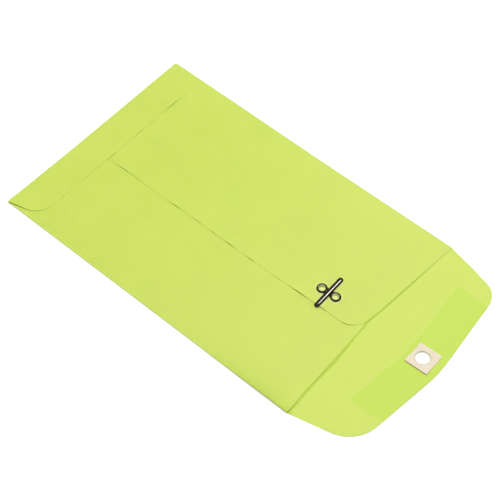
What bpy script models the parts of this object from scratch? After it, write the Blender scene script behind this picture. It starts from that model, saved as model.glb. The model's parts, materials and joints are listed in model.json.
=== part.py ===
# Clasp envelope, 6 by 9 inches, lying on its front panel with the seal flap open flat.
# Metres, +Z up. Origin: centre of the pocket, on its underside. +Y runs towards the seal flap.

import math

import bmesh
import bpy
from mathutils import Vector

# Pocket, one folded sheet
POCKET_WIDTH = 0.1524
POCKET_LENGTH = 0.2286
PAPER = 0.00016
POCKET_GAP = 0.0006  # free height inside the pocket, under the lower side panel
LAYER_GAP = 0.0002  # clearance between pieces that lie on or beside each other
GLUE = 0.00006  # thickness of a dried film of glue or gum

# Throat, the shallow V cut in both side panels at the pocket's mouth
THROAT_DEPTH = 0.0046

# Centre seam, the free edge of the left side panel
SEAM_BOTTOM_X = 0.0107
SEAM_TOP_X = 0.0089
SEAM_CORNER_RADIUS = 0.0093
UNDERLAP_CLEARANCE = 0.0020  # from the clasp's clinched rims to the hidden edge of the right panel
SEAM_GLUE_WIDTH = 0.0030
SEAM_GLUE_END = 0.0150  # bare length of seam at the throat

# Bottom flap
BOTTOM_FLAP_DEPTH = 0.0236
BOTTOM_FLAP_TAPER = math.radians(14)
BOTTOM_FLAP_RADIUS = 0.0140
BOTTOM_GLUE_WIDTH = 0.0120
BOTTOM_GLUE_MARGIN = 0.0040  # from the bottom flap's free edge to its glue
BOTTOM_GLUE_END = 0.0160  # bare length at each end of the bottom flap's glue

# Seal flap
FLAP_REACH = 0.0487  # from the fold to the point of the flap
FLAP_TAPER = math.radians(12.5)
FLAP_POINT_SLOPE = math.radians(6.8)
FLAP_CORNER_RADIUS = 0.0175
FLAP_POINT_RADIUS = 0.0300

# Gum strip on the flap
GUM_DEPTH = 0.0214
GUM_MARGIN = 0.0020  # from the flap's free edge to the gum
GUM_START_X = -0.0570
GUM_END_X = 0.0470

# Closure: the flap's hole comes down over the clasp when the flap is folded shut
CLOSURE_X = -0.00145
CLOSURE_REACH = 0.0343  # from the fold to the clasp, and on the other side to the hole
HOLE_DIAMETER = 0.0095
HOLE_DRIFT_X = -0.0014  # how far the hole was punched off the clasp's mirror image
HOLE_DRIFT_Y = 0.0009
PATCH_WIDTH = 0.0158
PATCH_LENGTH = 0.0155
PATCH_THICKNESS = 0.00025
PATCH_SKEW = math.radians(1.9)
PATCH_DRIFT = 0.0006  # from the middle of the hole to the middle of the patch

# Clasp, stamped from sheet metal
METAL = 0.00030
EYELET_OUTER = 0.0064
EYELET_BORE = 0.0044
EYELET_RISE = 0.00085
CLINCH_OUTER = 0.0060  # rim that is rolled outward under the paper
CLINCH_BEND = 0.00030
WEB_WIDTH = 0.0042  # plate between the two eyelets
PRONG_WIDTH = 0.0034
PRONG_RISE = 0.0009  # height of the rib that stiffens a prong
PRONG_LENGTH = 0.0127
BRIDGE = 0.0004  # the short stem between the two prongs
CLASP_SKEW = math.radians(2.3)  # how far the clasp was set askew

# Fineness of round shapes
ARC_STEPS = 10
HOLE_STEPS = 40
EYELET_STEPS = 36
PRONG_STEPS = 24
WELD = 1e-7  # points this close are one point
UNIT_EDGE = 1e-4  # how near a unit sphere's points are to its middle planes

# Heights of the folded layers, from the underside up
RIGHT_UNDERSIDE = PAPER + POCKET_GAP
RIGHT_TOP = RIGHT_UNDERSIDE + PAPER
SEAM_GLUE_UNDERSIDE = RIGHT_TOP + LAYER_GAP
LEFT_UNDERSIDE = SEAM_GLUE_UNDERSIDE + GLUE + LAYER_GAP
LEFT_TOP = LEFT_UNDERSIDE + PAPER
BOTTOM_GLUE_UNDERSIDE = LEFT_TOP + LAYER_GAP
BOTTOM_UNDERSIDE = BOTTOM_GLUE_UNDERSIDE + GLUE + LAYER_GAP
GUM_UNDERSIDE = PAPER + LAYER_GAP
PATCH_UNDERSIDE = GUM_UNDERSIDE + GLUE + LAYER_GAP

# Creases: the half rounds that join the front panel to the panels folded over it
LEFT_CREASE = LEFT_UNDERSIDE / 2  # radii at mid thickness
RIGHT_CREASE = RIGHT_UNDERSIDE / 2
BOTTOM_CREASE = BOTTOM_UNDERSIDE / 2
HALF_WIDTH = POCKET_WIDTH / 2
FOLD_Y = POCKET_LENGTH / 2
LEFT_CREASE_X = -HALF_WIDTH + LEFT_CREASE + PAPER / 2
RIGHT_CREASE_X = HALF_WIDTH - RIGHT_CREASE - PAPER / 2
BOTTOM_CREASE_Y = -FOLD_Y + BOTTOM_CREASE + PAPER / 2
PANEL_LEFT = LEFT_CREASE_X + LAYER_GAP
PANEL_RIGHT = RIGHT_CREASE_X - LAYER_GAP
PANEL_BOTTOM = BOTTOM_CREASE_Y + LAYER_GAP
PANEL_TOP = FOLD_Y - LAYER_GAP / 2
FLAP_ROOT = FOLD_Y + LAYER_GAP / 2

# The flap turns about the middle of the folded stack, so that it shuts parallel to the back
FLAP_AXIS_Z = (LEFT_TOP + LAYER_GAP + PAPER) / 2

# Clasp places
CLASP_Y = FOLD_Y - CLOSURE_REACH
HOLE_X = CLOSURE_X + HOLE_DRIFT_X
HOLE_Y = FOLD_Y + CLOSURE_REACH + HOLE_DRIFT_Y
EYELET_PITCH = EYELET_OUTER + PRONG_WIDTH + 2 * LAYER_GAP
BARREL_RADIUS = EYELET_BORE / 2 + METAL
PIERCED_RADIUS = BARREL_RADIUS + LAYER_GAP
UNDERLAP_EDGE_X = CLOSURE_X + CLINCH_OUTER / 2 + UNDERLAP_CLEARANCE
PRONG_RIM = 2 * LAYER_GAP + METAL  # underside of a flat prong, above the left panel
PRONG_CREST = PRONG_RIM + PRONG_RISE
PRONG_ROOT = BRIDGE / 2 + LAYER_GAP

# Looks: base colour, roughness, metallic
LIME_PAPER = ((0.63, 0.78, 0.14), 0.85, 0.0)
CLEAR_GLUE = ((0.80, 0.82, 0.62), 0.45, 0.0)
DRIED_GUM = ((0.58, 0.80, 0.14), 0.45, 0.0)
CREAM_CARD = ((0.87, 0.80, 0.71), 0.90, 0.0)
DARK_METAL = ((0.030, 0.027, 0.022), 0.28, 1.0)


def new_collection(name):
    made = bpy.data.collections.new(name)
    bpy.context.scene.collection.children.link(made)
    return made


def give_material(target, look):
    colour, roughness, metallic = look
    made = bpy.data.materials.new(target.name)
    made.use_nodes = True
    shader = made.node_tree.nodes["Principled BSDF"]
    shader.inputs["Base Color"].default_value = (*colour, 1)
    shader.inputs["Roughness"].default_value = roughness
    shader.inputs["Metallic"].default_value = metallic
    made.diffuse_color = (*colour, 1)
    target.data.materials.append(made)


def arc(centre_x, centre_y, radius, start, end, steps=ARC_STEPS):
    # Points on an arc, from one angle to another, in degrees.
    turns = [math.radians(start + (end - start) * step / steps) for step in range(steps + 1)]
    return [(centre_x + radius * math.cos(turn), centre_y + radius * math.sin(turn)) for turn in turns]


def circle(centre_x, centre_y, radius):
    return arc(centre_x, centre_y, radius, 0, 360, HOLE_STEPS)[:-1]


def rounded_outline(corners):
    # Corners are (x, y, radius), anticlockwise. A radius of 0 keeps the corner sharp.
    outline = []
    for index, (x, y, radius) in enumerate(corners):
        corner = Vector((x, y))
        if radius == 0:
            outline.append((x, y))
            continue
        before = (Vector(corners[index - 1][:2]) - corner).normalized()
        after = (Vector(corners[(index + 1) % len(corners)][:2]) - corner).normalized()
        half_angle = before.angle(after) / 2
        centre = corner + (before + after).normalized() * radius / math.sin(half_angle)
        first = corner + before * radius / math.tan(half_angle) - centre
        start = math.degrees(math.atan2(first.y, first.x))
        sweep = 180 - math.degrees(2 * half_angle)
        outline += arc(centre.x, centre.y, radius, start, start + sweep)
    return outline


def evaluated_mesh(source):
    # The object's mesh with its modifiers applied, its caps welded and its faces pointing out.
    bpy.context.view_layer.update()
    graph = bpy.context.evaluated_depsgraph_get()
    mesh = bpy.data.meshes.new_from_object(source.evaluated_get(graph))
    work = bmesh.new()
    work.from_mesh(mesh)
    bmesh.ops.remove_doubles(work, verts=work.verts, dist=WELD)
    bmesh.ops.recalc_face_normals(work, faces=work.faces)
    work.to_mesh(mesh)
    work.free()
    return mesh


def as_mesh_object(source, collection):
    # Replaces a curve, or an object with modifiers, with the mesh that it makes.
    name = source.name
    mesh = evaluated_mesh(source)
    matrix = source.matrix_world.copy()
    bpy.data.objects.remove(source)
    made = bpy.data.objects.new(name, mesh)
    mesh.name = name
    made.matrix_world = matrix
    collection.objects.link(made)
    return made


def plate(name, outlines, thickness, location, rotation=(0, 0, 0)):
    # A flat sheet. The first outline is its edge and the others are holes through it.
    curve = bpy.data.curves.new(name, "CURVE")
    curve.dimensions = "2D"
    curve.fill_mode = "BOTH"
    curve.extrude = thickness / 2
    for outline in outlines:
        spline = curve.splines.new("POLY")
        spline.points.add(len(outline) - 1)
        for point, (x, y) in zip(spline.points, outline):
            point.co = (x, y, 0, 1)
        spline.use_cyclic_u = True
    sheet = bpy.data.objects.new(name, curve)
    sheet.location = location
    sheet.rotation_euler = rotation
    parts.objects.link(sheet)
    return as_mesh_object(sheet, parts)


def sheet_at(name, outlines, thickness, underside, look):
    # A flat sheet lying at a height above the ground.
    made = plate(name, outlines, thickness, (0, 0, underside + thickness / 2))
    give_material(made, look)
    return made


def crease(name, radius, length, location, heading):
    # A half round of paper that bulges towards its own -X, then is turned to its heading.
    section = arc(0, 0, radius + PAPER / 2, 90, 270) + arc(0, 0, radius - PAPER / 2, 270, 90)
    made = plate(name, [section], length, location, (math.pi / 2, 0, heading))
    give_material(made, LIME_PAPER)
    return made


def left_throat_y(x):
    # The left panel's half of the V cut, a straight line that runs on past the centre to the seam.
    return FOLD_Y - THROAT_DEPTH * (1 + x / HALF_WIDTH)


def right_throat_y(x):
    # The right panel's half of the V cut.
    return FOLD_Y - THROAT_DEPTH * (1 - x / HALF_WIDTH)


def clasp_place(along, across):
    # Where a point of the clasp lies, given along its prongs and across them from its middle.
    x = CLOSURE_X + along * math.cos(CLASP_SKEW) - across * math.sin(CLASP_SKEW)
    y = CLASP_Y + along * math.sin(CLASP_SKEW) + across * math.cos(CLASP_SKEW)
    return x, y


def eyelet_places():
    return [clasp_place(0, side * EYELET_PITCH / 2) for side in (-1, 1)]


def make_panels():
    front = [
        (PANEL_LEFT, PANEL_BOTTOM),
        (PANEL_RIGHT, PANEL_BOTTOM),
        (PANEL_RIGHT, PANEL_TOP),
        (PANEL_LEFT, PANEL_TOP),
    ]
    sheet_at("front_panel", [front], PAPER, 0, LIME_PAPER)

    right = [
        (UNDERLAP_EDGE_X, PANEL_BOTTOM),
        (PANEL_RIGHT, PANEL_BOTTOM),
        (PANEL_RIGHT, right_throat_y(PANEL_RIGHT)),
        (UNDERLAP_EDGE_X, right_throat_y(UNDERLAP_EDGE_X)),
    ]
    sheet_at("right_side_panel", [right], PAPER, RIGHT_UNDERSIDE, LIME_PAPER)

    left = [
        (PANEL_LEFT, PANEL_BOTTOM, 0),
        (SEAM_BOTTOM_X, PANEL_BOTTOM, 0),
        (SEAM_TOP_X, left_throat_y(SEAM_TOP_X), SEAM_CORNER_RADIUS),
        (PANEL_LEFT, left_throat_y(PANEL_LEFT), 0),
    ]
    pierced = [circle(x, y, PIERCED_RADIUS) for x, y in eyelet_places()]
    sheet_at("left_side_panel", [rounded_outline(left), *pierced], PAPER, LEFT_UNDERSIDE, LIME_PAPER)


def make_creases():
    side_length = PANEL_TOP - PANEL_BOTTOM
    side_y = (PANEL_TOP + PANEL_BOTTOM) / 2
    left_place = (LEFT_CREASE_X, side_y, LEFT_CREASE + PAPER / 2)
    right_place = (RIGHT_CREASE_X, side_y, RIGHT_CREASE + PAPER / 2)
    bottom_place = (0, BOTTOM_CREASE_Y, BOTTOM_CREASE + PAPER / 2)
    crease("left_side_crease", LEFT_CREASE, side_length, left_place, 0)
    crease("right_side_crease", RIGHT_CREASE, side_length, right_place, math.pi)
    crease("bottom_crease", BOTTOM_CREASE, POCKET_WIDTH, bottom_place, math.pi / 2)


def make_bottom_flap():
    free_edge = -FOLD_Y + BOTTOM_FLAP_DEPTH
    corner_x = HALF_WIDTH - BOTTOM_FLAP_DEPTH * math.tan(BOTTOM_FLAP_TAPER)
    outline = [
        (-HALF_WIDTH, PANEL_BOTTOM, 0),
        (HALF_WIDTH, PANEL_BOTTOM, 0),
        (corner_x, free_edge, BOTTOM_FLAP_RADIUS),
        (-corner_x, free_edge, BOTTOM_FLAP_RADIUS),
    ]
    sheet_at("bottom_flap", [rounded_outline(outline)], PAPER, BOTTOM_UNDERSIDE, LIME_PAPER)


def rectangle(left, bottom, right, top):
    return [(left, bottom), (right, bottom), (right, top), (left, top)]


def make_glue_lines():
    seam_middle = (UNDERLAP_EDGE_X + min(SEAM_BOTTOM_X, SEAM_TOP_X)) / 2
    seam_start = -FOLD_Y + BOTTOM_FLAP_DEPTH
    seam_end = left_throat_y(seam_middle) - SEAM_GLUE_END
    half = SEAM_GLUE_WIDTH / 2
    seam = rectangle(seam_middle - half, seam_start, seam_middle + half, seam_end)
    sheet_at("seam_glue", [seam], GLUE, SEAM_GLUE_UNDERSIDE, CLEAR_GLUE)

    top = -FOLD_Y + BOTTOM_FLAP_DEPTH - BOTTOM_GLUE_MARGIN
    end = HALF_WIDTH - BOTTOM_GLUE_END
    bottom = rectangle(-end, top - BOTTOM_GLUE_WIDTH, end, top)
    sheet_at("bottom_flap_glue", [bottom], GLUE, BOTTOM_GLUE_UNDERSIDE, CLEAR_GLUE)


def flap_edge_y(x):
    # The seal flap's free edge, a shallow V that points away from the pocket.
    return FOLD_Y + FLAP_REACH - abs(x) * math.tan(FLAP_POINT_SLOPE)


def flap_corner():
    # Where a slanted side of the seal flap would meet its free edge.
    side = math.tan(FLAP_TAPER)
    x = (HALF_WIDTH - side * FLAP_REACH) / (1 - side * math.tan(FLAP_POINT_SLOPE))
    return x, flap_edge_y(x)


def make_seal_flap():
    corner_x, corner_y = flap_corner()
    outline = [
        (-HALF_WIDTH, FLAP_ROOT, 0),
        (HALF_WIDTH, FLAP_ROOT, 0),
        (corner_x, corner_y, FLAP_CORNER_RADIUS),
        (0, flap_edge_y(0), FLAP_POINT_RADIUS),
        (-corner_x, corner_y, FLAP_CORNER_RADIUS),
    ]
    hole = circle(HOLE_X, HOLE_Y, HOLE_DIAMETER / 2)
    flap = sheet_at("seal_flap", [rounded_outline(outline), hole], PAPER, 0, LIME_PAPER)

    gum_ends = (GUM_START_X, 0, GUM_END_X)
    gum = [(x, flap_edge_y(x) - GUM_MARGIN - GUM_DEPTH) for x in gum_ends]
    gum += [(x, flap_edge_y(x) - GUM_MARGIN) for x in reversed(gum_ends)]
    strip = sheet_at("gum_strip", [gum, hole], GLUE, GUM_UNDERSIDE, DRIED_GUM)

    half_width = PATCH_WIDTH / 2
    half_length = PATCH_LENGTH / 2
    square = rectangle(-half_width, PATCH_DRIFT - half_length, half_width, PATCH_DRIFT + half_length)
    opening = circle(0, 0, HOLE_DIAMETER / 2)
    place = (HOLE_X, HOLE_Y, PATCH_UNDERSIDE + PATCH_THICKNESS / 2)
    patch = plate("hole_patch", [square, opening], PATCH_THICKNESS, place, (0, 0, PATCH_SKEW))
    give_material(patch, CREAM_CARD)

    fold = bpy.data.objects.new("flap_fold", None)
    fold.location = (0, FOLD_Y, FLAP_AXIS_Z)
    parts.objects.link(fold)
    bpy.context.view_layer.update()
    for piece in (flap, strip, patch):
        piece.parent = fold
        piece.matrix_parent_inverse = fold.matrix_world.inverted()


def eyelet_profile():
    # Mid line of the metal, from the outer lip over the rolled crest, down the barrel and out to the clinch.
    # Heights are above the left side panel.
    outer = EYELET_OUTER / 2 - METAL / 2
    barrel = EYELET_BORE / 2 + METAL / 2
    roll = (outer - barrel) / 2
    roll_z = LAYER_GAP + EYELET_RISE - METAL / 2 - roll
    clinch_z = -PAPER - LAYER_GAP - METAL / 2
    profile = [(outer, LAYER_GAP)]
    profile += arc(barrel + roll, roll_z, roll, 0, 180, ARC_STEPS)
    profile += arc(barrel + CLINCH_BEND, clinch_z + CLINCH_BEND, CLINCH_BEND, 180, 270, ARC_STEPS // 2)
    profile.append((CLINCH_OUTER / 2, clinch_z))
    return profile


def make_eyelet(name, across):
    profile = eyelet_profile()
    mesh = bpy.data.meshes.new(name)
    edges = [(index, index + 1) for index in range(len(profile) - 1)]
    mesh.from_pydata([(radius, 0, z) for radius, z in profile], edges, [])
    eyelet = bpy.data.objects.new(name, mesh)
    cutters.objects.link(eyelet)
    turned = eyelet.modifiers.new("turned", "SCREW")
    turned.steps = EYELET_STEPS
    turned.render_steps = EYELET_STEPS
    turned.use_merge_vertices = True
    turned.merge_threshold = WELD
    sheet = eyelet.modifiers.new("sheet", "SOLIDIFY")
    sheet.thickness = METAL
    sheet.offset = 0
    eyelet.location = (*clasp_place(0, across), LEFT_TOP)
    return hide(as_mesh_object(eyelet, cutters))


def hide(tool):
    tool.hide_render = True
    tool.display_type = "WIRE"
    return tool


def make_bridge():
    # The upright stem under the bend of both prongs, with the prongs' own half round as its outline.
    half = PRONG_WIDTH / 2
    foot = LAYER_GAP + METAL / 2
    outline = [(-half, foot), (half, foot)]
    turns = [math.pi * step / ARC_STEPS for step in range(ARC_STEPS + 1)]
    outline += [(half * math.cos(turn), PRONG_RIM + PRONG_RISE * math.sin(turn)) for turn in turns]
    place = (CLOSURE_X, CLASP_Y, LEFT_TOP)
    bridge = plate("bridge", [outline], BRIDGE, place, (math.pi / 2, 0, math.pi / 2 + CLASP_SKEW))
    parts.objects.unlink(bridge)
    cutters.objects.link(bridge)
    return hide(bridge)


def make_clasp_base():
    half_pitch = EYELET_PITCH / 2
    outer = EYELET_OUTER / 2 - METAL / 2
    half_web = half_pitch - math.sqrt(outer**2 - (WEB_WIDTH / 2) ** 2)
    web = rectangle(-WEB_WIDTH / 2, -half_web, WEB_WIDTH / 2, half_web)
    place = (CLOSURE_X, CLASP_Y, LEFT_TOP + LAYER_GAP + METAL / 2)
    base = plate("clasp_base", [web], METAL, place, (0, 0, CLASP_SKEW))
    give_material(base, DARK_METAL)
    tools = [make_eyelet("eyelet_low", -half_pitch), make_eyelet("eyelet_high", half_pitch), make_bridge()]
    for tool in tools:
        join = base.modifiers.new(tool.name, "BOOLEAN")
        join.operation = "UNION"
        join.object = tool
        join.solver = "EXACT"


def make_prong(name, side):
    # A dished rib with a round tip. Its origin is on the bend, at the root of its crest.
    work = bmesh.new()
    bmesh.ops.create_uvsphere(work, u_segments=PRONG_STEPS, v_segments=PRONG_STEPS // 2, radius=1)
    for vertex in work.verts:
        vertex.co = (vertex.co.z, vertex.co.x, vertex.co.y)
    unwanted = [vertex for vertex in work.verts if vertex.co.x < -UNIT_EDGE or vertex.co.z < -UNIT_EDGE]
    bmesh.ops.delete(work, geom=unwanted, context="VERTS")
    half = PRONG_WIDTH / 2
    run = PRONG_LENGTH - half
    root = [edge for edge in work.edges if all(abs(vertex.co.x) < UNIT_EDGE for vertex in edge.verts)]
    for vertex in work.verts:
        vertex.co = (run + half * vertex.co.x, half * vertex.co.y, PRONG_RISE * (vertex.co.z - 1))
    pulled = bmesh.ops.extrude_edge_only(work, edges=root)
    for vertex in pulled["geom"]:
        if isinstance(vertex, bmesh.types.BMVert):
            vertex.co.x = 0
    bmesh.ops.recalc_face_normals(work, faces=work.faces)
    mesh = bpy.data.meshes.new(name)
    work.to_mesh(mesh)
    work.free()
    prong = bpy.data.objects.new(name, mesh)
    parts.objects.link(prong)
    sheet = prong.modifiers.new("sheet", "SOLIDIFY")
    sheet.thickness = METAL
    sheet.offset = -1
    sheet.use_even_offset = True
    prong.location = (*clasp_place(side * PRONG_ROOT, 0), LEFT_TOP + PRONG_CREST)
    prong.rotation_euler = (0, 0, CLASP_SKEW if side > 0 else CLASP_SKEW + math.pi)
    mesh.shade_smooth()
    give_material(prong, DARK_METAL)


for existing in list(bpy.data.objects):
    bpy.data.objects.remove(existing)
parts = new_collection("clasp_envelope")
cutters = new_collection("joined_shapes")
make_panels()
make_creases()
make_bottom_flap()
make_glue_lines()
make_seal_flap()
make_clasp_base()
make_prong("left_prong", -1)
make_prong("right_prong", 1)
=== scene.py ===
import json
from math import atan2, cos, degrees, exp, hypot, pi, radians, sin, sqrt, tan

import bmesh
import bpy
import numpy as np
from mathutils import Matrix, Vector
from mathutils.geometry import delaunay_2d_cdt


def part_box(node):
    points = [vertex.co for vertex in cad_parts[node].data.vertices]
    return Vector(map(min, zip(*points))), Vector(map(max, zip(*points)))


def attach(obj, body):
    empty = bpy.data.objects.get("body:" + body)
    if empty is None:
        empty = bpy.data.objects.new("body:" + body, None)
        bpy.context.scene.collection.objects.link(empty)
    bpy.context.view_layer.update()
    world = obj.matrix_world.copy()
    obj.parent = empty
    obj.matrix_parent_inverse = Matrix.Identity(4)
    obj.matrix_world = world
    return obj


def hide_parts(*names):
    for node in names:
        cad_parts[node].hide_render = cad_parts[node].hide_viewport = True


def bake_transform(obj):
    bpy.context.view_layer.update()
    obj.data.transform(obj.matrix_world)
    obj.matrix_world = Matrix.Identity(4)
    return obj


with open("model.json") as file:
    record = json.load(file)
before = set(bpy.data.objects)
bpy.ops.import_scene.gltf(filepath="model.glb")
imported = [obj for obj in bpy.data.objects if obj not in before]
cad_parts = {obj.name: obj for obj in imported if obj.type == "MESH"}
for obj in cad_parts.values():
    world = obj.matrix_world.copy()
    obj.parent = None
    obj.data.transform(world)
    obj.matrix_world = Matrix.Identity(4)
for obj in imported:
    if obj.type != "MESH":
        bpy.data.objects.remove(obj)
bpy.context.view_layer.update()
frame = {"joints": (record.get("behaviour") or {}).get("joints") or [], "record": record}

mm = 0.001

# sizes that the frame gives
joints = {joint["name"]: joint for joint in frame["joints"]}
foldY = joints["flap_fold"]["pos_m"][1]
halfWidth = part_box("bottom_flap")[1].x
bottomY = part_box("bottom_crease")[0].y
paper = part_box("front_panel")[1].z
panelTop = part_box("left_side_panel")[1].z  # what the clasp is set on
sheetZ = paper / 2
sheetThick = 0.12 * mm  # the paper, pressed
print("frame: pocket", round(2 * halfWidth / mm, 1), "by", round((foldY - bottomY) / mm, 1), "mm")


def clamp(t):
    return max(0.0, min(1.0, t))


def easeOut(t):
    return 1 - (1 - clamp(t)) ** 2


def smooth(t):
    t = clamp(t)
    return t * t * (3 - 2 * t)


def hump(t):
    return 0.5 + 0.5 * cos(pi * t) if abs(t) < 1 else 0.0


def spread(start, end, step):
    # even values, about a step apart
    count = max(1, round(abs(end - start) / step))
    return [start + (end - start) * k / count for k in range(count + 1)]


def arc(x, y, radius, start, end, steps=14):
    turns = [radians(a) for a in spread(start, end, abs(end - start) / steps)]
    return [(x + radius * cos(a), y + radius * sin(a)) for a in turns]


def circle(x, y, radius, steps=64):
    return arc(x, y, radius, 0, 360, steps)[:-1]


def roundedOutline(corners):
    # corners are (x, y, radius), anticlockwise
    outline = []
    for k, (x, y, radius) in enumerate(corners):
        corner = Vector((x, y))
        if radius == 0:
            outline.append((x, y))
            continue
        before = (Vector(corners[k - 1][:2]) - corner).normalized()
        after = (Vector(corners[(k + 1) % len(corners)][:2]) - corner).normalized()
        half = before.angle(after) / 2
        centre = corner + (before + after).normalized() * radius / sin(half)
        first = corner + before * radius / tan(half) - centre
        start = degrees(atan2(first.y, first.x))
        outline += arc(centre.x, centre.y, radius, start, start + 180 - degrees(2 * half))
    return outline


def walked(outline, step, closed=True):
    # the same outline with points about a step apart
    points = []
    for (ax, ay), (bx, by) in zip(outline, outline[1:] + outline[:1] if closed else outline[1:]):
        count = max(1, round(hypot(bx - ax, by - ay) / step))
        points += [(ax + (bx - ax) * k / count, ay + (by - ay) * k / count) for k in range(count)]
    return points


def edgesOf(loops):
    for loop in loops:
        yield from zip(np.array(loop), np.roll(loop, -1, axis=0))


def edgeDistance(points, *loops):
    best = np.full(len(points), np.inf)
    for start, end in edgesOf(loops):
        run = end - start
        along = np.clip((points - start) @ run / max(run @ run, 1e-18), 0, 1)
        best = np.minimum(best, np.linalg.norm(points - start - along[:, None] * run, axis=1))
    return best


def isInside(points, *loops):
    # inside an outline, and in none of the holes that follow it
    inside = np.zeros(len(points), bool)
    for (ax, ay), (bx, by) in edgesOf(loops):
        if ay != by:
            crosses = (ay > points[:, 1]) != (by > points[:, 1])
            inside ^= crosses & (points[:, 0] < ax + (points[:, 1] - ay) * (bx - ax) / (by - ay))
    return inside


def cutSheet(outline, holes, columns, rows, margin, extra=(), extraMargin=0.05 * mm):
    # a flat sheet with holes, meshed on a grid of columns and rows and on extra points
    loops = [outline, *holes]
    grid = np.array([(x, y) for y in rows for x in columns] + list(extra))
    margins = np.full(len(grid), margin)
    margins[len(grid) - len(extra):] = extraMargin
    keep = isInside(grid, *loops) & (edgeDistance(grid, *loops) > margins)
    edges = []
    for loop in loops:
        first = len(edges)
        edges += [(first + k, first + (k + 1) % len(loop)) for k in range(len(loop))]
    points = np.concatenate([*loops, grid[keep]])
    cut = delaunay_2d_cdt([Vector(p) for p in points], edges, [], 0, 1e-9)
    places = np.array([tuple(p) for p in cut[0]])
    faces = np.array(cut[2])
    return places, faces[isInside(places[faces].mean(axis=1), *loops)]


def finishedMesh(source, sharpAngle=40):
    # applies the modifiers, turns the faces out and shades smooth up to an angle
    bpy.context.view_layer.update()
    graph = bpy.context.evaluated_depsgraph_get()
    mesh = bpy.data.meshes.new_from_object(source.evaluated_get(graph))
    work = bmesh.new()
    work.from_mesh(mesh)
    bmesh.ops.remove_doubles(work, verts=work.verts, dist=1e-7)
    bmesh.ops.recalc_face_normals(work, faces=work.faces)
    work.to_mesh(mesh)
    work.free()
    mesh.shade_smooth()
    mesh.set_sharp_from_angle(angle=radians(sharpAngle))
    source.modifiers.clear()
    source.data = mesh
    mesh.name = source.name


def addModifier(piece, name, kind, **settings):
    modifier = piece.modifiers.new(name, kind)
    for key, value in settings.items():
        setattr(modifier, key, value)


def addObject(name, data):
    made = bpy.data.objects.new(name, data)
    bpy.context.scene.collection.objects.link(made)
    return made


def newObject(name, work):
    mesh = bpy.data.meshes.new(name)
    work.to_mesh(mesh)
    work.free()
    return addObject(name, mesh)


def sheetPiece(name, cut, place, thickness, material):
    # bends a cut sheet into place and gives it its thickness
    places, faces = cut
    work = bmesh.new()
    verts = [work.verts.new(place(x, y)) for x, y in places]
    for face in faces:
        work.faces.new([verts[k] for k in face])
    bmesh.ops.join_triangles(
        work, faces=work.faces[:], angle_face_threshold=0.8, angle_shape_threshold=0.8, topology_influence=0
    )
    piece = newObject(name, work)
    addModifier(piece, "thickness", "SOLIDIFY", thickness=thickness, offset=0)
    finishedMesh(piece)
    piece.data.materials.append(material)
    return piece


def pointsOf(piece):
    return [v.co for v in piece.data.vertices]


def flatOf(points):
    return np.array([co[:2] for co in points])


def paint(piece, name, values):
    # keeps a number on each point, for the material to read
    layer = piece.data.attributes.new(name, "FLOAT", "POINT")
    layer.data.foreach_set("value", list(values))


def besideLine(line, offsets, step):
    # rows of points along a line, to its left where an offset is above 0
    rows = []
    line = walked(line, step, False)
    for (ax, ay), (bx, by) in zip(line, line[1:]):
        run = Vector((bx - ax, by - ay)).normalized()
        rows += [(ax - run.y * offset, ay + run.x * offset) for offset in offsets]
    return rows


# materials

def feed(value, socket):
    # a socket takes another node's output, a colour or a plain value
    if isinstance(value, bpy.types.NodeSocket):
        socket.id_data.links.new(value, socket)
    else:
        socket.default_value = (*value, 1) if socket.type == "RGBA" else value


def setInputs(node, **inputs):
    for name, value in inputs.items():
        feed(value, node.inputs[name.replace("_", " ")])


def addNode(beside, kind, *values, **inputs):
    # a node in the tree of the node or socket beside it
    node = beside.id_data.nodes.new("ShaderNode" + kind)
    for socket, value in zip(node.inputs, values):
        feed(value, socket)
    setInputs(node, **inputs)
    return node


def newMaterial(name):
    material = bpy.data.materials.new(name)
    material.use_nodes = True
    return material, material.node_tree.nodes["Principled BSDF"]


def addNoise(coords, scale, detail, stretch=(1, 1, 1), turn=0.0):
    mapping = addNode(coords, "Mapping", coords, Scale=stretch, Rotation=(0, 0, turn)).outputs[0]
    return addNode(coords, "TexNoise", mapping, Scale=scale, Detail=detail).outputs["Fac"]


def addRange(value, low, high, newLow, newHigh):
    return addNode(value, "MapRange", value, low, high, newLow, newHigh).outputs[0]


def addMath(operation, first, second):
    node = addNode(first, "Math", first, second)
    node.operation = operation
    return node.outputs[0]


def addMix(share, first, second):
    node = addNode(share, "Mix", share)
    node.data_type = "RGBA"
    colourSockets = [s for s in node.inputs if s.type == "RGBA"]
    for value, socket in zip((first, second), colourSockets):
        feed(value, socket)
    return [s for s in node.outputs if s.type == "RGBA"][0]


def addRoughness(noise, look):
    # gloss that varies with a noise
    less, more = look["uneven"]
    return addRange(noise, 0.3, 0.7, look["roughness"] - less, look["roughness"] + more)


def dress(shader, look, colour, roughness, height):
    # every finish has its colour, its gloss and a fine relief
    strength, depth = look["relief"]
    relief = addNode(height, "Bump", Height=height, Strength=strength, Distance=depth).outputs["Normal"]
    setInputs(shader, Base_Color=colour, Roughness=roughness, Normal=relief)
    setInputs(shader, Specular_IOR_Level=look["specular"])


def objectCoords(shader):
    return addNode(shader, "TexCoord").outputs["Object"]


def attribute(shader, name):
    node = addNode(shader, "Attribute")
    node.attribute_name = name
    return node.outputs["Fac"]


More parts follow.
